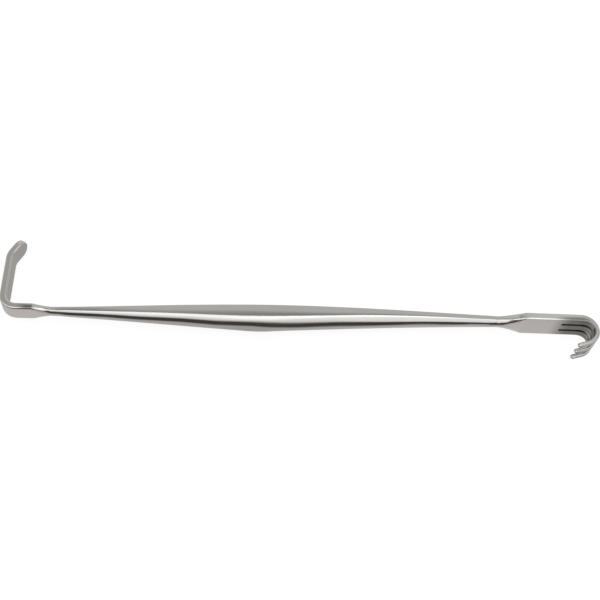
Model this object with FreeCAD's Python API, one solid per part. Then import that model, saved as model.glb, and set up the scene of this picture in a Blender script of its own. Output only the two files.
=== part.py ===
import FreeCAD, Part
import os
from math import cos, pi, radians, sin, sqrt

# Double-ended handheld retractor, forged in one piece from stainless steel.
# A slim spindle handle joins a right-angle tongue blade at one end to a
# three-tine blunt rake, curled the other way, at the other end.
#
# Axes while drawing: x runs along the handle from the back of the blade to the
# outermost point of the rake, y points the way the blade rises, and z runs
# across the strips. The handle's axis is y = 0, z = 0. At the end the part is
# moved so that it lies on its side with its origin under the middle of its box.
# All sizes are in millimetres and degrees.

# Whole instrument
overall_length = 160.0

# Blade end: a flat strip bent to a right angle, with a lip at its free end
blade_width = 5.3
blade_thickness = 1.88
blade_face_y = -0.88           # outer face of the strip, below the handle's axis
blade_bend_radius = 4.5        # outer radius of the right-angle bend
blade_angle = 90.0             # from the strip to the blade
blade_strip_length = 4.25      # flat length between the bend and the shoulder
blade_straight = 11.6          # flat length between the bend and the lip
lip_angle = 29.0               # how far the lip turns in from the blade
lip_radius = 3.6               # inner radius of the lip's bend
lip_straight = 4.8             # from the end of that bend to the round tip
tip_depth = 2.6                # how far back from the end the tip is rounded
blade_edge_radius = 0.55
blade_shoulder_length = 4.65   # from the strip's full width to the narrow neck

# Handle: half heights towards +y and -y, and half widths along z
left_neck_up = 1.15
left_neck_down = 1.0
left_neck_side = 1.32
belly_low_run = 54.1           # left neck to the low side's peak, where two tapers meet
belly_high_run = 62.6          # left neck to the peak of the high side and the flanks
belly_up = 3.18
belly_down = 4.28
belly_side = 3.2
right_neck_up = 1.66
right_neck_down = 1.04
right_neck_side = 1.66
neck_flat_share = 0.06         # part of each half size that stays flat on the handle

# How each taper fills out between a neck and the belly: 1 is even, more stays slim longer
left_up_power = 1.22
left_down_power = 1.08
left_side_power = 1.2
right_up_power = 1.08
right_down_power = 1.58
right_side_power = 1.1
shoulder_power = 1.35

# Rake end: a wider strip, slotted into tines and curled through half a turn
rake_width = 7.9
rake_face_y = 0.87             # outer face at the start of the curl, above the handle's axis
rake_fall = 0.2                # how far the strip sinks from the shoulder to the curl
rake_thickness = 2.0
rake_strip_length = 15.1       # flat length between the shoulder and the curl
rake_shoulder_length = 6.9     # from the strip's full width to the narrow neck
rake_edge_depth = 0.45         # bevel on the hook's inner side, across the thickness
rake_edge_width = 0.3          # the same bevel, across the width
rake_back_radius = 0.3         # rounding on the outer side
hook_radius = 4.49             # outer radius of the curl's first quarter turn
hook_low_radius = 4.8          # outer radius beyond that
hook_angle = 164.0             # how far the curl turns
hook_thickness = 1.25          # tine thickness once the curl has thinned it
thinning_angle = 90.0          # how far round the curl that takes
tine_count = 3
slot_straight = 4.6            # slot length on the flat, before the curl
slot_width = 0.7
slot_edge_radius = 0.08
tine_straight = 2.6            # from the end of the curl to where the tip starts
tine_end_width = 1.12
tine_end_pitch = 3.2           # between the middles of neighbouring tips
tine_round_share = 0.44        # part of a tine's end taken by each rounded corner
tip_length = 0.59              # how far the tip would reach if it were fully round
tip_kept_share = 0.94          # part of that length left on, up to the blunt end

# Number of sections along each run, and what counts as touching and as flush
handle_steps = 26
shoulder_steps = 3
curl_steps = 10
end_steps = 3
tip_steps = 4
arcs_per_corner = 3
touching = 0.0001
flush = 0.99                   # cosine of the angle between two faces
cut_margin = 1.0               # how far a cutting shape reaches past the metal
quarter_turn = 90.0

# Worked out from the sizes above
blade_inner_y = blade_face_y + blade_thickness
blade_shoulder_x = blade_bend_radius + blade_strip_length
left_neck_x = blade_shoulder_x + blade_shoulder_length
hook_x = overall_length - hook_radius
hook_y = rake_face_y - hook_radius
rake_shoulder_x = hook_x - rake_strip_length
rake_slope = rake_fall / rake_strip_length
right_neck_x = rake_shoulder_x - rake_shoulder_length
belly_low_x = left_neck_x + belly_low_run
belly_high_x = left_neck_x + belly_high_run
tine_root_width = (rake_width - (tine_count - 1) * slot_width) / tine_count
tine_root_pitch = tine_root_width + slot_width


# Shared shapes


def vec(x, y, z=0.0):
    return FreeCAD.Vector(x, y, z)


def share(a, b, t):
    """Value, or tuple of values, a share t of the way from a to b."""
    if isinstance(a, tuple):
        return tuple(share(low, high, t) for low, high in zip(a, b))
    return a + (b - a) * t


def heading_vector(angle):
    return vec(cos(radians(angle)), sin(radians(angle)))


def quarter(start, corner, end):
    """Quarter of an ellipse from start to end, touching the lines that meet at corner."""
    arc = Part.BezierCurve()
    arc.setPoles([start, corner, end])
    arc.setWeight(2, sqrt(0.5))
    return arc


def split(arc):
    """A curve as several short edges, so that the faces lofted from them stay narrow."""
    edges = []
    for i in range(arcs_per_corner):
        piece = arc.copy()
        piece.segment(i / arcs_per_corner, (i + 1) / arcs_per_corner)
        edges.append(piece.toShape())
    return edges


def rounded_section(place, low, high, left, right, low_round, high_round):
    """Rounded rectangle as a wire of four split corners and four straight edges.

    place turns (height, across) into a point. Each round is (height, left
    width, right width): how far the two corners at that face reach.
    """
    low_h, low_a, low_b = low_round
    high_h, high_a, high_b = high_round
    corners = [
        (low + low_h, left, low, left, low, left + low_a),
        (low, right - low_b, low, right, low + low_h, right),
        (high - high_h, right, high, right, high, right - high_b),
        (high, left + high_a, high, left, high - high_h, left),
    ]
    arcs = [(place(a, b), place(c, d), place(e, f)) for a, b, c, d, e, f in corners]
    edges = []
    for arc, following in zip(arcs, arcs[1:] + arcs[:1]):
        edges += split(quarter(*arc))
        edges.append(Part.makeLine(arc[2], following[0]))
    return Part.Wire(edges)


def cross_section(x, sizes):
    """Section across the handle; sizes are (low, high, half width, low round, high round)."""
    low, high, half, low_round, high_round = sizes
    return rounded_section(lambda height, across: vec(x, height, across),
                           low, high, -half, half, low_round, high_round)


# Handle and shoulders


def spindle_sizes(up, down, side):
    """Nearly elliptical section, with its own height above and below the axis."""
    rounded = 1 - neck_flat_share
    across = side * rounded
    return (-down, up, side, (down * rounded, across, across), (up * rounded, across, across))


def blade_strip_sizes():
    r = blade_edge_radius
    return (blade_face_y, blade_inner_y, blade_width / 2, (r, r, r), (r, r, r))


def rake_strip_sizes(before_curl):
    """Section of the flat strip at a length before the curl."""
    r = rake_back_radius
    face_y = rake_face_y + rake_slope * before_curl
    return (face_y - rake_thickness, face_y, rake_width / 2,
            (rake_edge_depth, rake_edge_width, rake_edge_width), (r, r, r))


def neck_share(x, middle_x, left_power, right_power):
    """0 at either neck and 1 at the belly's peak, filled out by the power of that side."""
    if x < middle_x:
        return ((x - left_neck_x) / (middle_x - left_neck_x)) ** left_power
    return (max(right_neck_x - x, 0.0) / (right_neck_x - middle_x)) ** right_power


def swell(x, left, middle, right, middle_x, run):
    """Half size at x, a share run of the way from the nearer neck to the belly."""
    return share(left if x < middle_x else right, middle, run)


def spindle_section(x):
    """The high side and the flanks are rounded over at the belly; the low side is pointed."""
    up_run = sin(pi / 2 * neck_share(x, belly_high_x, left_up_power, right_up_power))
    side_run = sin(pi / 2 * neck_share(x, belly_high_x, left_side_power, right_side_power))
    down_run = neck_share(x, belly_low_x, left_down_power, right_down_power)
    up = swell(x, left_neck_up, belly_up, right_neck_up, belly_high_x, up_run)
    side = swell(x, left_neck_side, belly_side, right_neck_side, belly_high_x, side_run)
    down = swell(x, left_neck_down, belly_down, right_neck_down, belly_low_x, down_run)
    return cross_section(x, spindle_sizes(up, down, side))


def spindle():
    span = right_neck_x - left_neck_x
    sections = [spindle_section(left_neck_x + span * i / handle_steps) for i in range(handle_steps + 1)]
    return Part.makeLoft(sections, True, False)


def shoulder(neck_x, neck, strip_x, strip):
    """Flare from a neck to the full width of a strip."""
    sections = []
    for i in range(shoulder_steps + 1):
        run = i / shoulder_steps
        sections.append(cross_section(share(neck_x, strip_x, run), share(neck, strip, run ** shoulder_power)))
    return Part.makeLoft(sections, True, False)


def handle():
    left = spindle_sizes(left_neck_up, left_neck_down, left_neck_side)
    right = spindle_sizes(right_neck_up, right_neck_down, right_neck_side)
    return [spindle(),
            shoulder(left_neck_x, left, blade_shoulder_x, blade_strip_sizes()),
            shoulder(right_neck_x, right, rake_shoulder_x, rake_strip_sizes(rake_strip_length))]


# Blade


def blade_outline(depth):
    """Side outline at a depth under the outer face, its end point and its last direction."""
    edges = []
    point = vec(blade_shoulder_x, blade_face_y + depth)
    heading = 2 * quarter_turn
    runs = [(blade_strip_length, blade_angle, blade_bend_radius - depth),
            (blade_straight, lip_angle, lip_radius + blade_thickness - depth)]
    for length, turn, radius in runs:
        bend_start = point + heading_vector(heading) * length
        centre = bend_start + heading_vector(heading - quarter_turn) * radius
        bend = [centre - heading_vector(heading - turned - quarter_turn) * radius for turned in (0, turn / 2, turn)]
        edges += [Part.makeLine(point, bend_start), Part.Arc(*bend).toShape()]
        point = bend[2]
        heading -= turn
    end = point + heading_vector(heading) * lip_straight
    edges.append(Part.makeLine(point, end))
    return edges, end, heading


def blade():
    """Bent strip with a lip, its end rounded like a tongue and its rims softened."""
    outer, outer_end, heading = blade_outline(0.0)
    inner, inner_end, heading = blade_outline(blade_thickness)
    ends = [Part.makeLine(outer_end, inner_end),
            Part.makeLine(vec(blade_shoulder_x, blade_face_y), vec(blade_shoulder_x, blade_inner_y))]
    side = Part.Face(Part.Wire(Part.__sortEdges__(outer + inner + ends)))
    side.translate(vec(0, 0, -blade_width / 2))
    strip = side.extrude(vec(0, 0, blade_width))
    return soften(strip.cut(tip_waste(outer_end, heading)))


def tip_waste(end, heading):
    """What is ground off the end of the strip to leave a round tip."""
    half = blade_width / 2
    beyond = half + cut_margin

    def place(run, across):
        return end + heading_vector(heading) * run + vec(0, 0, across)

    corners = [place(-tip_depth, -half), place(-tip_depth, -beyond), place(cut_margin, -beyond),
               place(cut_margin, beyond), place(-tip_depth, beyond), place(-tip_depth, half)]
    edges = Part.makePolygon(corners).Edges
    edges.append(quarter(place(-tip_depth, half), place(0, half), place(0, 0)).toShape())
    edges.append(quarter(place(0, 0), place(0, -half), place(-tip_depth, -half)).toShape())
    face = Part.Face(Part.Wire(Part.__sortEdges__(edges)))
    outward = heading_vector(heading + quarter_turn)
    face.translate(outward * -(blade_thickness + cut_margin))
    return face.extrude(outward * 2 * (blade_thickness + cut_margin))


def soften(strip):
    """Rounds the long rims and leaves the shoulder's end and the flush joints alone."""
    def at_shoulder(edge):
        return all(abs(v.X - blade_shoulder_x) < touching for v in edge.Vertexes)

    def between_flush_faces(edge):
        middle = edge.valueAt((edge.FirstParameter + edge.LastParameter) / 2)
        faces = [f for f in strip.Faces if any(e.isSame(edge) for e in f.Edges)]
        one, other = (f.normalAt(*f.Surface.parameter(middle)) for f in faces)
        return abs(one.dot(other)) > flush

    rims = [e for e in strip.Edges if not at_shoulder(e) and not between_flush_faces(e)]
    return strip.makeFillet(blade_edge_radius, rims)


# Rake


def along_strip(length):
    """From any point of the strip, the point this far nearer the curl."""
    return vec(length, -length * rake_slope)


def rake_strip():
    """Flat strip from the shoulder to the slots, with the round ends of the slots let into it."""
    whole = rake_strip_length - slot_straight
    strip = Part.Face(cross_section(rake_shoulder_x, rake_strip_sizes(rake_strip_length))).extrude(along_strip(whole))
    cutters = []
    for index in range(tine_count - 1):
        across = (index - (tine_count - 2) / 2) * tine_root_pitch
        foot = vec(rake_shoulder_x + whole, rake_face_y - rake_thickness - cut_margin, across)
        cutters.append(Part.makeCylinder(slot_width / 2, rake_thickness + 2 * cut_margin, foot, vec(0, 1)))
    return strip.cut(cutters)


def tine_stations():
    """From the start of the curl to the tip: outer point, inward direction and thickness."""
    stations = []
    for i in range(curl_steps + 1):
        turned = hook_angle * i / curl_steps
        radius = hook_radius if turned < quarter_turn else hook_low_radius
        inward = heading_vector(-quarter_turn - turned)
        thinned = (1 - cos(pi * min(turned / thinning_angle, 1.0))) / 2
        stations.append((vec(overall_length - radius, hook_y) - inward * radius, inward,
                         share(rake_thickness, hook_thickness, thinned)))
    curl_end, inward, thick = stations[-1]
    for i in range(1, end_steps + 1):
        outer = curl_end + heading_vector(-hook_angle) * (tine_straight * i / end_steps)
        stations.append((outer, inward, thick))
    return stations


def tine_section(index, run, outer, inward, thick, size=1.0):
    """Section across one tine: sharp-edged beside the slots, nearly round at the tip."""
    middle = index - (tine_count - 1) / 2
    centre = middle * share(tine_root_pitch, tine_end_pitch, run)
    half = share(tine_root_width, tine_end_width, run) / 2
    end_round = tine_round_share * tine_end_width
    low_round = [thick * share(rake_edge_depth / rake_thickness, tine_round_share, run)]
    high_round = [thick * share(rake_back_radius / rake_thickness, tine_round_share, run)]
    for outermost in (index == 0, index == tine_count - 1):
        low_round.append(share(rake_edge_width if outermost else slot_edge_radius, end_round, run))
        high_round.append(share(rake_back_radius if outermost else slot_edge_radius, end_round, run))
    core = outer + inward * (thick / 2) + vec(0, 0, centre)

    def place(height, across):
        return core - inward * (height * size) + vec(0, 0, across * size)

    return rounded_section(place, -thick / 2, thick / 2, -half, half, low_round, high_round)


def tine(index):
    """One tine: flat beside its slots, then lofted round the curl and closed by its blunt tip."""
    stations = tine_stations()
    last = len(stations) - 1
    sections = [tine_section(index, i / last, *station) for i, station in enumerate(stations)]
    flat = Part.Face(sections[0]).extrude(along_strip(-slot_straight))
    curl = Part.makeLoft(sections, True, False)
    return flat.fuse([curl, tip(index, *stations[last])])


def tip(index, outer, inward, thick):
    """Blunt round end: the tine's last section shrinks along a quarter of an ellipse."""
    sections = []
    for i in range(tip_steps + 1):
        reach = tip_kept_share * i / tip_steps
        forward = heading_vector(-hook_angle) * (tip_length * reach)
        sections.append(tine_section(index, 1.0, outer + forward, inward, thick, sqrt(1 - reach ** 2)))
    return Part.makeLoft(sections, True, False)


# Whole instrument


def retractor():
    pieces = handle() + [blade(), rake_strip()] + [tine(i) for i in range(tine_count)]
    body = pieces[0].fuse(pieces[1:]).removeSplitter().Solids[0]
    box = body.optimalBoundingBox(False)
    body.translate(vec(-overall_length / 2, -(box.YMin + box.YMax) / 2, -box.ZMin))
    return body


def main():
    os.makedirs("parts", exist_ok=True)
    retractor().exportStep("parts/retractor.step")


main()
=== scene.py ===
"""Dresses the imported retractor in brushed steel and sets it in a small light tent.

Everything is in metres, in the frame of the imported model: +X runs along the
handle from the blade to the rake, +Y is the way the blade rises, and +Z is up.
"""
import logging
import math
from dataclasses import dataclass, field
from enum import Enum

import bpy
import numpy as np
from mathutils import Matrix, Vector

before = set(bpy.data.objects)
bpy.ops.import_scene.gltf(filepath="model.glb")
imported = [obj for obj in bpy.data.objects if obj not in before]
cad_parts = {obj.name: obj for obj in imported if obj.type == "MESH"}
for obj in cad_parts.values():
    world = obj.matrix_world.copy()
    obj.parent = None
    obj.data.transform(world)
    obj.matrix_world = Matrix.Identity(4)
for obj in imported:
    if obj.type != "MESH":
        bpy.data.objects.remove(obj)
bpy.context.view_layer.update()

LOG = logging.getLogger("retractor")
Tint = tuple[float, float, float]
Fade = tuple[float, float]
Panel = list[tuple[float, float]]
Socket = bpy.types.NodeSocket
Tree = bpy.types.NodeTree
MM = 0.001
HANDLE_AXIS = Vector((0.0, -6.4525 * MM, 3.95 * MM))


class Brushing(Enum):
    """Ways the grinding lines can run over the steel."""

    ALONG_HANDLE = "along_handle"
    UP_THE_BLADE = "up_the_blade"
    ROUND_THE_CURL = "round_the_curl"


@dataclass(frozen=True)
class BrushedSteel:
    """Stainless steel, polished on the handle and satin on the two ends.

    A fade is a pair of places: the finish starts at the first one and is full
    at the second one.
    """

    name: str = "brushed_steel"
    light: Tint = (0.585, 0.578, 0.568)
    dark: Tint = (0.525, 0.518, 0.508)
    satin: Tint = (0.65, 0.637, 0.622)
    # Painted shade colour, near black, used inside the curl, in the slots and at the blade's shoulder.
    painted_shade: Tint = (0.06, 0.055, 0.05)
    dark_below: float = 0.3
    light_above: float = 0.7
    line_share: float = 0.55
    satin_share: float = 0.9

    handle_roughness: float = 0.11
    end_roughness: float = 0.17
    painted_shade_roughness: float = 0.2
    roughness_spread: float = 0.05

    handle_start: Fade = (-71.0 * MM, -65.0 * MM)
    handle_end: Fade = (52.0 * MM, 58.0 * MM)
    blade_bend: Fade = (-77.1 * MM, -74.1 * MM)
    curl_start: Fade = (75.0 * MM, 76.0 * MM)
    curl_x: float = 75.5 * MM
    curl_y: float = -10.07 * MM
    curl_radius: float = 4.0 * MM
    middle_z: float = 3.95 * MM

    # Painted shade inside the curl: how dark it is and where it fades in.
    curl_shade: float = 0.68
    curl_shade_within: Fade = (3.9 * MM, 3.0 * MM)
    curl_shade_from: Fade = (67.3 * MM, 73.3 * MM)
    curl_shade_above: Fade = (-13.4 * MM, -11.4 * MM)
    # Painted shade in the slots between the tines: how dark it is and where it lies.
    slot_shade: float = 0.9
    slot_offset: float = 1.4333 * MM
    slot_shade_within: Fade = (0.64 * MM, 0.46 * MM)
    slot_shade_from: Fade = (70.3 * MM, 70.7 * MM)
    slot_shade_above: Fade = (-13.6 * MM, -12.6 * MM)
    # Painted shade in the concave corner at the blade's shoulder: how dark it is and where it lies.
    shoulder_shade: float = 0.72
    shoulder_shade_outside: Fade = (2.3 * MM, 2.5 * MM)
    shoulder_shade_from: Fade = (-76.0 * MM, -72.4 * MM)
    shoulder_shade_to: Fade = (-70.8 * MM, -71.4 * MM)
    shoulder_shade_below: Fade = (-5.6 * MM, -6.5 * MM)

    lines_per_metre: float = 5200.0
    line_detail: float = 2.0
    line_slowness: float = 0.02
    clouds_per_metre: float = 90.0
    cloud_detail: float = 3.0
    bump_strength: float = 0.12
    bump_height: float = 0.004 * MM

    def build(self) -> bpy.types.Material:
        """Makes the node material.

        Returns:
            The finished material.
        """
        material = bpy.data.materials.new(self.name)
        material.use_nodes = True
        tree = material.node_tree
        tree.nodes.clear()
        output = tree.nodes.new("ShaderNodeOutputMaterial")
        shader = tree.nodes.new("ShaderNodeBsdfPrincipled")
        shader.inputs["Metallic"].default_value = 1.0
        tree.links.new(shader.outputs["BSDF"], output.inputs["Surface"])
        place = tree.nodes.new("ShaderNodeTexCoord").outputs["Object"]
        lines = self._mixed_lines(tree, place)
        clouds = self._noise(tree, place, self.clouds_per_metre, self.cloud_detail)
        painted_shade = self._painted_shade_mask(tree, place)
        self._colour(tree, place, lines, clouds, painted_shade, shader)
        self._roughness(tree, place, lines, clouds, painted_shade, shader)
        bump = tree.nodes.new("ShaderNodeBump")
        bump.inputs["Strength"].default_value = self.bump_strength
        bump.inputs["Distance"].default_value = self.bump_height
        tree.links.new(lines, bump.inputs["Height"])
        tree.links.new(bump.outputs["Normal"], shader.inputs["Normal"])
        return material

    def _math(self, tree: Tree, kind: str, *values: object, clamp: bool = False) -> Socket:
        """Adds one math node.

        Args:
            tree: The material's nodes.
            kind: The operation.
            values: Numbers or sockets for its inputs, in order.
            clamp: Whether the result is held between 0 and 1.

        Returns:
            The node's result.
        """
        node = tree.nodes.new("ShaderNodeMath")
        node.operation = kind
        node.use_clamp = clamp
        for socket, value in zip(node.inputs, values):
            if isinstance(value, Socket):
                tree.links.new(value, socket)
            else:
                socket.default_value = value
        return node.outputs[0]

    def _noise(self, tree: Tree, vector: Socket, scale: float, detail: float) -> Socket:
        """Adds a noise texture.

        Args:
            tree: The material's nodes.
            vector: Where it is read.
            scale: Its scale.
            detail: Its number of octaves.

        Returns:
            The noise's value.
        """
        node = tree.nodes.new("ShaderNodeTexNoise")
        node.inputs["Scale"].default_value = scale
        node.inputs["Detail"].default_value = detail
        tree.links.new(vector, node.inputs["Vector"])
        return node.outputs[0]

    def _vector(self, tree: Tree, *parts: object) -> Socket:
        """Joins three sockets or numbers into a vector.

        Args:
            tree: The material's nodes.
            parts: The x, y and z parts.

        Returns:
            The vector.
        """
        node = tree.nodes.new("ShaderNodeCombineXYZ")
        for socket, part in zip(node.inputs, parts):
            if isinstance(part, Socket):
                tree.links.new(part, socket)
            else:
                socket.default_value = part
        return node.outputs[0]

    def _lines(self, tree: Tree, place: Socket, brushing: Brushing) -> Socket:
        """Fine grinding lines that run one way.

        Args:
            tree: The material's nodes.
            place: The point on the object.
            brushing: The way the lines run.

        Returns:
            A value from 0 to 1 that changes quickly across the lines and slowly along them.
        """
        x, y, z = self._axes(tree, place)
        slow = self.line_slowness
        if brushing is Brushing.ALONG_HANDLE:
            vector = self._vector(tree, self._math(tree, "MULTIPLY", x, slow), y, z)
        elif brushing is Brushing.UP_THE_BLADE:
            vector = self._vector(tree, x, self._math(tree, "MULTIPLY", y, slow), z)
        else:
            turn = self._math(tree, "ARCTAN2", self._math(tree, "SUBTRACT", y, self.curl_y),
                              self._math(tree, "SUBTRACT", x, self.curl_x))
            along = self._math(tree, "MULTIPLY", turn, slow * self.curl_radius)
            vector = self._vector(tree, along, self._from_curl(tree, x, y), z)
        return self._noise(tree, vector, self.lines_per_metre, self.line_detail)

    def _axes(self, tree: Tree, place: Socket) -> list[Socket]:
        """Splits a point into its x, y and z.

        Args:
            tree: The material's nodes.
            place: The point on the object.

        Returns:
            The three parts.
        """
        split = tree.nodes.new("ShaderNodeSeparateXYZ")
        tree.links.new(place, split.inputs[0])
        return list(split.outputs)

    def _step(self, tree: Tree, value: Socket, fade: Fade) -> Socket:
        """A smooth change from 0 to 1.

        Args:
            tree: The material's nodes.
            value: What the change follows.
            fade: The value that gives 0 and the one that gives 1, which may be the smaller one.

        Returns:
            The result.
        """
        start, end = fade
        ramp = tree.nodes.new("ShaderNodeMapRange")
        ramp.interpolation_type = "SMOOTHSTEP"
        tree.links.new(value, ramp.inputs["Value"])
        ramp.inputs["From Min"].default_value = min(start, end)
        ramp.inputs["From Max"].default_value = max(start, end)
        ramp.inputs["To Min"].default_value = float(start > end)
        ramp.inputs["To Max"].default_value = float(start < end)
        return ramp.outputs["Result"]

    def _all(self, tree: Tree, *shares: object) -> Socket:
        """Multiplies several shares.

        Args:
            tree: The material's nodes.
            shares: Sockets or numbers.

        Returns:
            Their product.
        """
        product = shares[0]
        for part in shares[1:]:
            product = self._math(tree, "MULTIPLY", product, part)
        return product

    def _from_curl(self, tree: Tree, x: Socket, y: Socket) -> Socket:
        """Distance from the curl's axis, or on the flat strip from its level.

        Args:
            tree: The material's nodes.
            x: The point's x.
            y: The point's y.

        Returns:
            The distance.
        """
        across = self._math(tree, "MAXIMUM", self._math(tree, "SUBTRACT", x, self.curl_x), 0.0)
        rise = self._math(tree, "SUBTRACT", y, self.curl_y)
        squares = self._math(tree, "ADD", self._math(tree, "MULTIPLY", across, across),
                             self._math(tree, "MULTIPLY", rise, rise))
        return self._math(tree, "SQRT", squares)

    def _painted_shade_mask(self, tree: Tree, place: Socket) -> Socket:
        """Where shade is painted: inside the curl, in the slots and at the blade's shoulder; the steel
        is also rougher there.

        Args:
            tree: The material's nodes.
            place: The point on the object.

        Returns:
            A share from 0 to 1.
        """
        x, y, z = self._axes(tree, place)
        curl = self._all(tree, self._step(tree, self._from_curl(tree, x, y), self.curl_shade_within),
                         self._step(tree, x, self.curl_shade_from),
                         self._step(tree, y, self.curl_shade_above), self.curl_shade)
        middle = self._math(tree, "ABSOLUTE", self._math(tree, "SUBTRACT", z, self.middle_z))
        slot = self._math(tree, "ABSOLUTE", self._math(tree, "SUBTRACT", middle, self.slot_offset))
        slots = self._all(tree, self._step(tree, slot, self.slot_shade_within),
                          self._step(tree, x, self.slot_shade_from),
                          self._step(tree, y, self.slot_shade_above), self.slot_shade)
        shoulder = self._all(tree, self._step(tree, middle, self.shoulder_shade_outside),
                             self._step(tree, x, self.shoulder_shade_from),
                             self._step(tree, x, self.shoulder_shade_to),
                             self._step(tree, y, self.shoulder_shade_below), self.shoulder_shade)
        return self._math(tree, "MAXIMUM", self._math(tree, "MAXIMUM", curl, slots), shoulder)

    def _mix(self, tree: Tree, share: object, first: object, second: object) -> Socket:
        """Blends two numbers.

        Args:
            tree: The material's nodes.
            share: How much of the second one there is.
            first: The first number.
            second: The second number.

        Returns:
            The blend.
        """
        difference = self._math(tree, "SUBTRACT", second, first)
        return self._math(tree, "MULTIPLY_ADD", difference, share, first)

    def _mixed_lines(self, tree: Tree, place: Socket) -> Socket:
        """Grinding lines that follow the handle, the blade and the curl.

        Args:
            tree: The material's nodes.
            place: The point on the object.

        Returns:
            The lines' value.
        """
        handle = self._lines(tree, place, Brushing.ALONG_HANDLE)
        blade = self._lines(tree, place, Brushing.UP_THE_BLADE)
        curl = self._lines(tree, place, Brushing.ROUND_THE_CURL)
        x = self._axes(tree, place)[0]
        left = self._step(tree, x, self.blade_bend)
        right = self._step(tree, x, self.curl_start)
        return self._mix(tree, right, self._mix(tree, left, blade, handle), curl)

    def _blend(self, tree: Tree, share: Socket, colour: Socket, other: Tint) -> Socket:
        """Blends a colour towards a fixed one.

        Args:
            tree: The material's nodes.
            share: How much of the fixed colour there is.
            colour: The colour it starts from.
            other: The fixed colour.

        Returns:
            The blend.
        """
        mix = tree.nodes.new("ShaderNodeMix")
        mix.data_type = "RGBA"
        first, second = [socket for socket in mix.inputs if socket.type == "RGBA"]
        tree.links.new(share, mix.inputs["Factor"])
        tree.links.new(colour, first)
        second.default_value = (*other, 1.0)
        return next(socket for socket in mix.outputs if socket.type == "RGBA")

    def _on_handle(self, tree: Tree, place: Socket) -> Socket:
        """Tells the polished handle from the satin ends.

        Args:
            tree: The material's nodes.
            place: The point on the object.

        Returns:
            1 on the handle and 0 on the ends.
        """
        x = self._axes(tree, place)[0]
        return self._math(tree, "SUBTRACT", self._step(tree, x, self.handle_start),
                          self._step(tree, x, self.handle_end))

    def _colour(self, tree: Tree, place: Socket, lines: Socket, clouds: Socket, painted_shade: Socket,
                shader: bpy.types.Node) -> None:
        """Gives the steel its slightly uneven grey, with painted shade in the curl, the slots and the
        shoulder.

        Args:
            tree: The material's nodes.
            place: The point on the object.
            lines: The grinding lines.
            clouds: The slow unevenness.
            painted_shade: Where shade is painted, so the steel is near black there.
            shader: The shader that takes the colour.
        """
        share = self._math(tree, "ADD", self._math(tree, "MULTIPLY", lines, self.line_share),
                           self._math(tree, "MULTIPLY", clouds, 1 - self.line_share), clamp=True)
        ramp = tree.nodes.new("ShaderNodeValToRGB")
        ramp.color_ramp.elements[0].position = self.dark_below
        ramp.color_ramp.elements[0].color = (*self.dark, 1.0)
        ramp.color_ramp.elements[1].position = self.light_above
        ramp.color_ramp.elements[1].color = (*self.light, 1.0)
        tree.links.new(share, ramp.inputs[0])
        on_end = self._math(tree, "SUBTRACT", 1.0, self._on_handle(tree, place))
        satin = self._math(tree, "MULTIPLY", on_end, self.satin_share)
        ends = self._blend(tree, satin, ramp.outputs["Color"], self.satin)
        # Painted shade: blends the colour towards near black in the curl, the slots and the shoulder.
        tree.links.new(self._blend(tree, painted_shade, ends, self.painted_shade), shader.inputs["Base Color"])

    def _roughness(self, tree: Tree, place: Socket, lines: Socket, clouds: Socket, painted_shade: Socket,
                   shader: bpy.types.Node) -> None:
        """Polishes the handle and leaves the ends satin.

        Args:
            tree: The material's nodes.
            place: The point on the object.
            lines: The grinding lines.
            clouds: The slow unevenness.
            painted_shade: Where shade is painted; the steel is also rougher there.
            shader: The shader that takes the roughness.
        """
        even = self._mix(tree, self._on_handle(tree, place), self.end_roughness, self.handle_roughness)
        uneven = self._math(tree, "ADD", self._math(tree, "MULTIPLY", lines, 1 / 2),
                            self._math(tree, "MULTIPLY", clouds, 1 / 2))
        spread = self._math(tree, "MULTIPLY_ADD", uneven, self.roughness_spread,
                            -self.roughness_spread / 2)
        rougher = self._math(tree, "MULTIPLY_ADD", painted_shade, self.painted_shade_roughness, spread)
        tree.links.new(self._math(tree, "ADD", even, rougher, clamp=True), shader.inputs["Roughness"])


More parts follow.
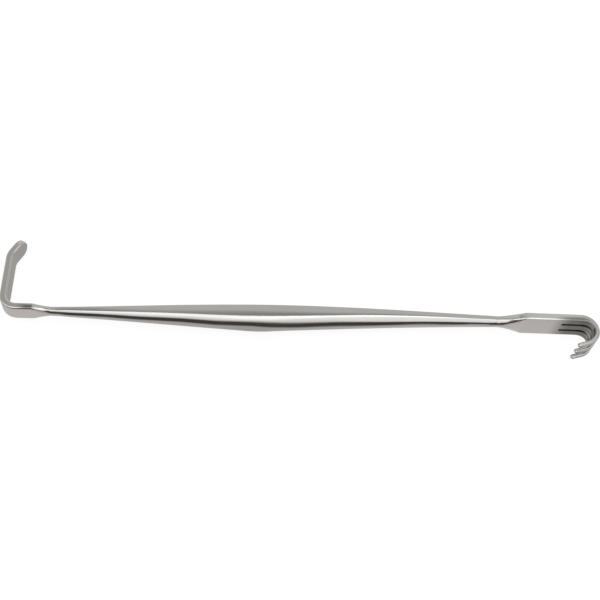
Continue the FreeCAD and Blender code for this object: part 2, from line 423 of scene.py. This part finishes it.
@dataclass(frozen=True)
class Polish:
    """How evenly the facets shine: one smooth sweep on the handle, crisp ground edges elsewhere.

    The handle's shine follows a low wave fitted round and along it, as a
    polishing wheel leaves it. Elsewhere facets that meet at more than the crisp
    angle, in degrees, keep their edge, and points nearer than a joint are one.
    """

    crisp_angle: float = 32.0
    start_x: float = -66.0 * MM
    end_x: float = 53.0 * MM
    fade: float = 6.0 * MM
    degree: int = 11
    waves: int = 6
    joint: float = 0.01 * MM
    off_grid: float = 0.3
    shoulder_x: float = 53.5 * MM
    shoulder_run: float = 6.0 * MM

    def apply(self, piece: bpy.types.Object) -> None:
        """Gives every facet corner of the piece its direction of shine.

        Args:
            piece: The forged piece.
        """
        mesh = piece.data
        mesh.shade_smooth()
        points = np.array([vertex.co[:] for vertex in mesh.vertices])
        corners = np.array([loop.vertex_index for loop in mesh.loops])
        normals = self._facet_normals(mesh, points)
        self._ease_shoulder(normals, points[corners, 0])
        share, swept = self._swept_normals(points)
        share = share[corners, None]
        blended = normals * (1 - share) + swept[corners] * share
        blended /= np.linalg.norm(blended, axis=1, keepdims=True)
        mesh.normals_split_custom_set([tuple(normal) for normal in blended])

    def _ease_shoulder(self, normals: np.ndarray, x: np.ndarray) -> None:
        """Lets the shine on the rake's shoulder turn away from the handle little by little.

        Args:
            normals: The direction of each facet corner, changed in place.
            x: The place of each corner along the handle.
        """
        lean = np.clip((x - self.shoulder_x) / self.shoulder_run, 0, 1)
        near = (x > self.end_x - self.fade) & (x < self.shoulder_x + self.shoulder_run)
        normals[:, 0] *= np.where(near, lean, 1)
        normals /= np.linalg.norm(normals, axis=1, keepdims=True)

    def _facet_normals(self, mesh: bpy.types.Mesh, points: np.ndarray) -> np.ndarray:
        """Averages the facets that meet at a corner, large ones first, except across a crisp edge.

        Args:
            mesh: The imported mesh.
            points: Its points.

        Returns:
            One direction per facet corner.
        """
        around: dict[tuple[int, ...], list[tuple[np.ndarray, float]]] = {}
        keys = [tuple(key) for key in np.round(points / self.joint + self.off_grid).astype(int)]
        corners = []
        for facet in mesh.polygons:
            ring = list(facet.vertices)
            normal = np.array(facet.normal)
            for i, vertex in enumerate(ring):
                one = points[ring[i - 1]] - points[vertex]
                other = points[ring[(i + 1) % len(ring)]] - points[vertex]
                opening = math.atan2(np.linalg.norm(np.cross(one, other)), one @ other)
                around.setdefault(keys[vertex], []).append((normal, opening * facet.area))
                corners.append((keys[vertex], normal))
        limit = math.cos(math.radians(self.crisp_angle))
        result = []
        for key, normal in corners:
            total = sum(other * weight for other, weight in around[key] if other @ normal > limit)
            result.append(total if np.linalg.norm(total) > 0 else normal)
        result = np.array(result)
        return result / np.linalg.norm(result, axis=1, keepdims=True)

    def _swept_normals(self, points: np.ndarray) -> tuple[np.ndarray, np.ndarray]:
        """Fits the handle's radius by waves round it and a polynomial along it.

        Args:
            points: The mesh's points.

        Returns:
            How much each point belongs to the handle, and the fitted direction there.
        """
        x = points[:, 0]
        up = points[:, 2] - HANDLE_AXIS.z
        back = points[:, 1] - HANDLE_AXIS.y
        turn = np.arctan2(up, back)
        radius = np.hypot(up, back)
        along = (2 * x - self.start_x - self.end_x) / (self.end_x - self.start_x)
        share = np.clip((1 - np.abs(along)) * (self.end_x - self.start_x) / 2 / self.fade, 0, 1)
        on_handle = np.abs(along) <= 1
        along = np.clip(along, -1, 1)
        rows, by_turn, by_along = self._waves(turn, along)
        size = np.linalg.lstsq(rows[on_handle], radius[on_handle], rcond=None)[0]
        tilt_round = (by_turn @ size) / (rows @ size)
        tilt_along = (by_along @ size) * 2 / (self.end_x - self.start_x)
        out = np.stack([np.zeros_like(x), np.cos(turn), np.sin(turn)], axis=1)
        side = np.stack([np.zeros_like(x), -np.sin(turn), np.cos(turn)], axis=1)
        normals = out - side * tilt_round[:, None]
        normals[:, 0] = -tilt_along
        return share, normals / np.linalg.norm(normals, axis=1, keepdims=True)

    def _waves(self, turn: np.ndarray, along: np.ndarray) -> tuple[np.ndarray, np.ndarray, np.ndarray]:
        """The fit's parts and their slopes.

        Args:
            turn: Angles round the handle.
            along: Places along it, from -1 to 1.

        Returns:
            The parts, their slope round the handle and their slope along it.
        """
        steps = np.polynomial.chebyshev
        powers = steps.chebvander(along, self.degree)
        slopes = np.stack([steps.chebval(along, steps.chebder(row))
                           for row in np.eye(self.degree + 1)], axis=1)
        waves = [np.ones_like(turn)]
        turns = [np.zeros_like(turn)]
        for count in range(1, self.waves + 1):
            waves += [np.cos(count * turn), np.sin(count * turn)]
            turns += [-count * np.sin(count * turn), count * np.cos(count * turn)]
        waves, turns = np.stack(waves, axis=1), np.stack(turns, axis=1)

        def joined(one: np.ndarray, other: np.ndarray) -> np.ndarray:
            """Every part of one times every part of the other."""
            return (one[:, :, None] * other[:, None, :]).reshape(len(turn), -1)

        return joined(waves, powers), joined(turns, powers), joined(waves, slopes)


@dataclass
class Instrument:
    """The retractor itself: one forged piece."""

    node: str = "retractor"
    slot: str = "steel"
    finish: BrushedSteel = field(default_factory=BrushedSteel)
    polish: Polish = field(default_factory=Polish)

    def dress(self) -> bpy.types.Object:
        """Gives the forged piece its steel.

        Returns:
            The dressed piece.
        """
        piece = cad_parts[self.node]
        self.polish.apply(piece)
        steel = self.finish.build()
        if not piece.material_slots:
            piece.data.materials.append(steel)
        for place in piece.material_slots:
            place.material = steel
        return piece


@dataclass(frozen=True)
class TentSection:
    """Where the panels of the light tent meet, at one place along the handle.

    Angles are round the handle: -90 is underneath, 0 is level in front, 90 is
    overhead and 180 is level behind. From underneath the panels are a pale
    cloth, a dark flag, a light box, a grey back wall and the cloth again. An
    edge is half the width of the change from one panel to the next, and a run
    is how far from there a panel has one of its levels.
    """

    x: float
    flag_low: float
    flag_high: float
    box_high: float
    box_level: float = 1.62
    box_foot: float = 1.15
    back_top: float = 0.42
    cloth: float = 0.66
    back_mid: float = 0.7
    flag_level: float = 0.07

    cloth_fold: float = 0.6
    cloth_rim: float = 0.5
    box_rim: float = 0.62
    box_shoulder: float = 1.4
    back_level: float = 0.7
    back_foot: float = 0.6
    back_shade: float = 0.44

    underneath: float = -90.0
    cloth_angle: float = -62.0
    behind: float = 180.0
    back_foot_angle: float = 205.0
    back_shade_angle: float = 238.0
    back_cloth_angle: float = 262.0
    crisp_edge: float = 2.0
    soft_edge: float = 4.0
    level_run: float = 12.0
    flag_run: float = 10.0
    box_rim_run: float = 3.0
    box_foot_run: float = 9.0
    box_shoulder_run: float = 26.0
    back_mid_run: float = 38.0

    low_cloth: Tint = (1.0, 0.955, 0.935)
    flag: Tint = (1.0, 0.9, 0.82)
    box: Tint = (1.0, 0.995, 0.99)
    back: Tint = (1.0, 1.0, 0.965)

    def stops(self) -> list[tuple[float, Tint]]:
        """The glow of the tent's wall all the way round.

        Returns:
            Pairs of an angle in degrees and a colour.
        """
        panels = ((self.low_cloth, self._front_cloth()), (self.flag, self._flag()),
                  (self.box, self._box()), (self.back, self._back()),
                  (self.low_cloth, self._back_cloth()))
        return [(angle, tuple(level * part for part in tint))
                for tint, panel in panels for angle, level in panel]

    def _front_cloth(self) -> Panel:
        """Angles and levels of the cloth below the flag."""
        return [(self.underneath, self.cloth), (self.cloth_angle, self.cloth),
                (self.flag_low - self.level_run, self.cloth_fold),
                (self.flag_low - self.soft_edge, self.cloth_rim)]

    def _flag(self) -> Panel:
        """Angles and levels of the dark flag, with soft edges."""
        return [(self.flag_low + self.soft_edge, 2 * self.flag_level),
                (self.flag_low + self.level_run, self.flag_level),
                (self.flag_high - self.flag_run, self.flag_level),
                (self.flag_high - self.soft_edge, 2 * self.flag_level)]

    def _box(self) -> Panel:
        """Angles and levels of the light box, brightest near its top."""
        return [(self.flag_high + self.box_rim_run, self.box_rim),
                (self.flag_high + self.box_foot_run, self.box_foot),
                (self.box_high - self.box_shoulder_run, min(self.box_shoulder, self.box_level)),
                (self.box_high - self.level_run, self.box_level),
                (self.box_high - self.crisp_edge, self.box_level)]

    def _back(self) -> Panel:
        """Angles and levels of the back wall."""
        return [(self.box_high + self.crisp_edge, self.back_top),
                (self.box_high + self.level_run, self.back_top),
                (self.box_high + self.back_mid_run, self.back_mid),
                (self.behind, self.back_level), (self.back_foot_angle, self.back_foot)]

    def _back_cloth(self) -> Panel:
        """Angles and levels of the cloth below the back wall."""
        return [(self.back_shade_angle, self.back_shade), (self.back_cloth_angle, self.cloth),
                (self.underneath + 360, self.cloth)]


@dataclass
class LightTent:
    """Curved walls round the handle that only the shine of the steel shows."""

    radius: float = 1.0
    sections: tuple[TentSection, ...] = (
        TentSection(-8.0, -28, 27, 90, 0.9, 0.7, 0.5, 0.6, 0.5, 0.26),
        TentSection(-0.8, -28, 27, 90, 1.2, 0.8, 0.4, 0.66, 0.5, 0.24),
        TentSection(-0.30, -28, 27, 90, 1.7, 1.0, 0.36, 0.72, 0.5),
        TentSection(-0.26, -24, 33, 92, 1.7, 1.0, 0.34, 0.74, 0.42),
        TentSection(-0.21, -23, 29, 89, 1.75, 1.0, 0.48),
        TentSection(-0.175, -24, 28, 86, 1.75, 1.0, 0.46),
        TentSection(-0.115, -8, 40, 87.5, 1.75, 1.0, 0.4, 0.62),
        TentSection(-0.06, -2, 44.5, 89.5, 1.8, 1.0, 0.38, 0.58),
        TentSection(-0.014, 3, 46.5, 90.3, 1.8, 0.95, 0.38, 0.58),
        TentSection(0.05, -6, 41, 88, 1.9, 0.95, 0.35, 0.6),
        TentSection(0.096, -15, 35, 86, 1.9, 1.0, 0.33, 0.62),
        TentSection(0.14, -26, 26, 86, 1.95, 1.1, 0.33, 0.64),
        TentSection(0.168, -35, 19, 88.5, 2.0, 1.1, 0.33, 0.66),
        TentSection(0.2, -48, 8, 94, 2.1, 1.15, 0.35, 0.67),
        TentSection(0.221, -47, 4, 98.5, 2.2, 1.15, 0.38, 0.68),
        TentSection(0.255, -45.5, 0, 103, 2.3, 1.15, 0.42, 0.7),
        TentSection(0.29, -46, -6, 105.5, 2.4, 1.2, 0.5, 0.74),
        TentSection(0.315, -42, -8, 107, 2.4, 1.2, 0.6, 0.76),
        TentSection(0.345, -44, -5, 110, 2.2, 1.2, 0.74, 0.78),
        TentSection(0.375, -45, -4, 104, 1.7, 1.2, 0.8, 0.82),
        TentSection(0.43, -45, -4, 104, 1.5, 1.2, 0.78, 0.77),
        TentSection(0.56, -40, -4, 104, 0.8, 0.6, 0.5, 0.48, 0.5, 0.16),
        TentSection(8.0, -40, -4, 104, 0.7, 0.55, 0.44, 0.45, 0.5, 0.24))

    def build(self) -> bpy.types.Object:
        """Makes the tent's wall.

        Returns:
            The wall, seen only in reflections.
        """
        rows = [[(self._point(section.x, angle), glow) for angle, glow in section.stops()]
                for section in self.sections]
        width = len(rows[0])
        points = [point for row in rows for point, _ in row]
        faces = [(i * width + j, i * width + j + 1, (i + 1) * width + j + 1, (i + 1) * width + j)
                 for i in range(len(rows) - 1) for j in range(width - 1)]
        mesh = bpy.data.meshes.new("light_tent")
        mesh.from_pydata(points, [], faces)
        colours = mesh.color_attributes.new("glow", "FLOAT_COLOR", "POINT")
        for i, (_, glow) in enumerate(pair for row in rows for pair in row):
            colours.data[i].color = (*glow, 1.0)
        mesh.materials.append(self._material())
        wall = bpy.data.objects.new("light_tent", mesh)
        bpy.context.scene.collection.objects.link(wall)
        only_in_reflections(wall)
        return wall

    def _point(self, x: float, angle: float) -> Vector:
        """A point on the wall.

        Args:
            x: How far along the handle it is.
            angle: How far round the handle it is, in degrees.

        Returns:
            The point.
        """
        turn = math.radians(angle)
        return HANDLE_AXIS + Vector((x, -math.cos(turn) * self.radius, math.sin(turn) * self.radius))

    def _material(self) -> bpy.types.Material:
        """The wall's glow.

        Returns:
            A material that shines as brightly as the wall's own attribute says.
        """
        material = bpy.data.materials.new("tent_cloth")
        material.use_nodes = True
        tree = material.node_tree
        tree.nodes.clear()
        output = tree.nodes.new("ShaderNodeOutputMaterial")
        shine = tree.nodes.new("ShaderNodeEmission")
        level = tree.nodes.new("ShaderNodeAttribute")
        level.attribute_name = "glow"
        tree.links.new(level.outputs["Color"], shine.inputs["Color"])
        tree.links.new(shine.outputs[0], output.inputs["Surface"])
        return material


def only_in_reflections(piece: bpy.types.Object) -> None:
    """Hides a panel from the camera and from the light on the floor.

    Args:
        piece: The panel.
    """
    piece.visible_camera = False
    piece.visible_diffuse = False
    piece.visible_shadow = False
    piece.visible_volume_scatter = False
    piece.visible_transmission = False


@dataclass
class Studio:
    """White floor, even white surroundings and one soft lamp overhead."""

    floor_size: float = 6.0
    floor_colour: Tint = (0.94, 0.94, 0.94)
    floor_own_white: float = 0.92
    lamp_size: float = 0.9
    lamp_place: tuple[float, float, float] = (0.0, -0.15, 1.1)
    lamp_power: float = 9.0
    room_colour: Tint = (1.0, 1.0, 1.0)
    room_light: float = 0.75

    def build(self) -> list[bpy.types.Object]:
        """Makes the floor, the surroundings and the lamp.

        Returns:
            The floor and the lamp.
        """
        self._surroundings()
        return [self._floor(), self._lamp()]

    def _surroundings(self) -> None:
        """Makes the world white to look at and a plain level as light."""
        world = bpy.data.worlds.new("white_room")
        bpy.context.scene.world = world
        world.use_nodes = True
        tree = world.node_tree
        tree.nodes.clear()
        output = tree.nodes.new("ShaderNodeOutputWorld")
        seen = tree.nodes.new("ShaderNodeBackground")
        lit = tree.nodes.new("ShaderNodeBackground")
        lit.inputs["Strength"].default_value = self.room_light
        mix = tree.nodes.new("ShaderNodeMixShader")
        tree.links.new(looked_at(tree), mix.inputs[0])
        tree.links.new(lit.outputs[0], mix.inputs[1])
        tree.links.new(seen.outputs[0], mix.inputs[2])
        tree.links.new(mix.outputs[0], output.inputs["Surface"])
        for background in (seen, lit):
            background.inputs["Color"].default_value = (*self.room_colour, 1.0)

    def _floor(self) -> bpy.types.Object:
        """Makes the white floor, which keeps a soft shadow of the object.

        Returns:
            The floor.
        """
        half = self.floor_size / 2
        mesh = bpy.data.meshes.new("floor")
        corners = [(-half, -half, 0), (half, -half, 0), (half, half, 0), (-half, half, 0)]
        mesh.from_pydata(corners, [], [range(len(corners))])
        material = bpy.data.materials.new("floor_paper")
        material.use_nodes = True
        tree = material.node_tree
        tree.nodes.clear()
        output = tree.nodes.new("ShaderNodeOutputMaterial")
        paper = tree.nodes.new("ShaderNodeBsdfDiffuse")
        paper.inputs["Color"].default_value = (*self.floor_colour, 1.0)
        white = tree.nodes.new("ShaderNodeEmission")
        mix = tree.nodes.new("ShaderNodeMixShader")
        share = tree.nodes.new("ShaderNodeMath")
        share.operation = "MULTIPLY"
        share.inputs[1].default_value = self.floor_own_white
        tree.links.new(looked_at(tree), share.inputs[0])
        tree.links.new(share.outputs[0], mix.inputs[0])
        tree.links.new(paper.outputs[0], mix.inputs[1])
        tree.links.new(white.outputs[0], mix.inputs[2])
        tree.links.new(mix.outputs[0], output.inputs["Surface"])
        mesh.materials.append(material)
        floor = bpy.data.objects.new("floor", mesh)
        bpy.context.scene.collection.objects.link(floor)
        floor.visible_glossy = False
        return floor

    def _lamp(self) -> bpy.types.Object:
        """Makes the soft lamp overhead.

        Returns:
            The lamp.
        """
        light = bpy.data.lights.new("soft_lamp", "AREA")
        light.shape = "SQUARE"
        light.size = self.lamp_size
        light.energy = self.lamp_power
        lamp = bpy.data.objects.new("soft_lamp", light)
        lamp.location = self.lamp_place
        lamp.rotation_euler = (-lamp.location).to_track_quat("-Z", "Y").to_euler()
        lamp.visible_glossy = False
        bpy.context.scene.collection.objects.link(lamp)
        return lamp


def looked_at(tree: Tree) -> Socket:
    """Tells rays that look at the background from rays that light something.

    Args:
        tree: The nodes of a material or of the world.

    Returns:
        1 for rays from the camera, from shine and through glass, and 0 for others.
    """
    path = tree.nodes.new("ShaderNodeLightPath")
    either = tree.nodes.new("ShaderNodeMath")
    either.operation = "MAXIMUM"
    any_of = tree.nodes.new("ShaderNodeMath")
    any_of.operation = "MAXIMUM"
    tree.links.new(path.outputs["Is Camera Ray"], either.inputs[0])
    tree.links.new(path.outputs["Is Glossy Ray"], either.inputs[1])
    tree.links.new(either.outputs[0], any_of.inputs[0])
    tree.links.new(path.outputs["Is Transmission Ray"], any_of.inputs[1])
    return any_of.outputs[0]


@dataclass
class PhotoCamera:
    """A camera close above the handle, where the photograph was taken from."""

    place: tuple[float, float, float] = (-19.7683 * MM, -136.7557 * MM, 222.6972 * MM)
    right: tuple[float, float, float] = (0.99688386, -0.0170556, 0.07701733)
    up: tuple[float, float, float] = (-0.02604052, 0.85046018, 0.5253945)
    lens: float = 57.0
    sensor: float = 36.0
    half_pixel: float = 0.5 / 600
    near: float = 0.01
    far: float = 20.0

    def build(self) -> bpy.types.Object:
        """Makes the scene's camera.

        Returns:
            The camera.
        """
        data = bpy.data.cameras.new("photo_camera")
        data.lens = self.lens
        data.sensor_width = self.sensor
        data.shift_x = -self.half_pixel
        data.shift_y = self.half_pixel
        data.clip_start = self.near
        data.clip_end = self.far
        camera = bpy.data.objects.new("photo_camera", data)
        right = Vector(self.right).normalized()
        back = right.cross(Vector(self.up)).normalized()
        turn = Matrix((right, back.cross(right), back)).transposed()
        camera.matrix_world = Matrix.Translation(self.place) @ turn.to_4x4()
        bpy.context.scene.collection.objects.link(camera)
        bpy.context.scene.camera = camera
        return camera


def main() -> None:
    """Builds the scene and reports each piece."""
    logging.basicConfig(level=logging.INFO, format="%(message)s")
    bpy.context.scene.view_settings.view_transform = "Standard"
    camera = PhotoCamera().build()
    LOG.info("camera: %s", camera.name)
    piece = Instrument().dress()
    LOG.info("instrument: %s, %d faces", piece.name, len(piece.data.polygons))
    tent = LightTent().build()
    LOG.info("light tent: %s, %d panels", tent.name, len(tent.data.polygons))
    for thing in Studio().build():
        LOG.info("studio: %s", thing.name)


if __name__ == "__main__":
    main()
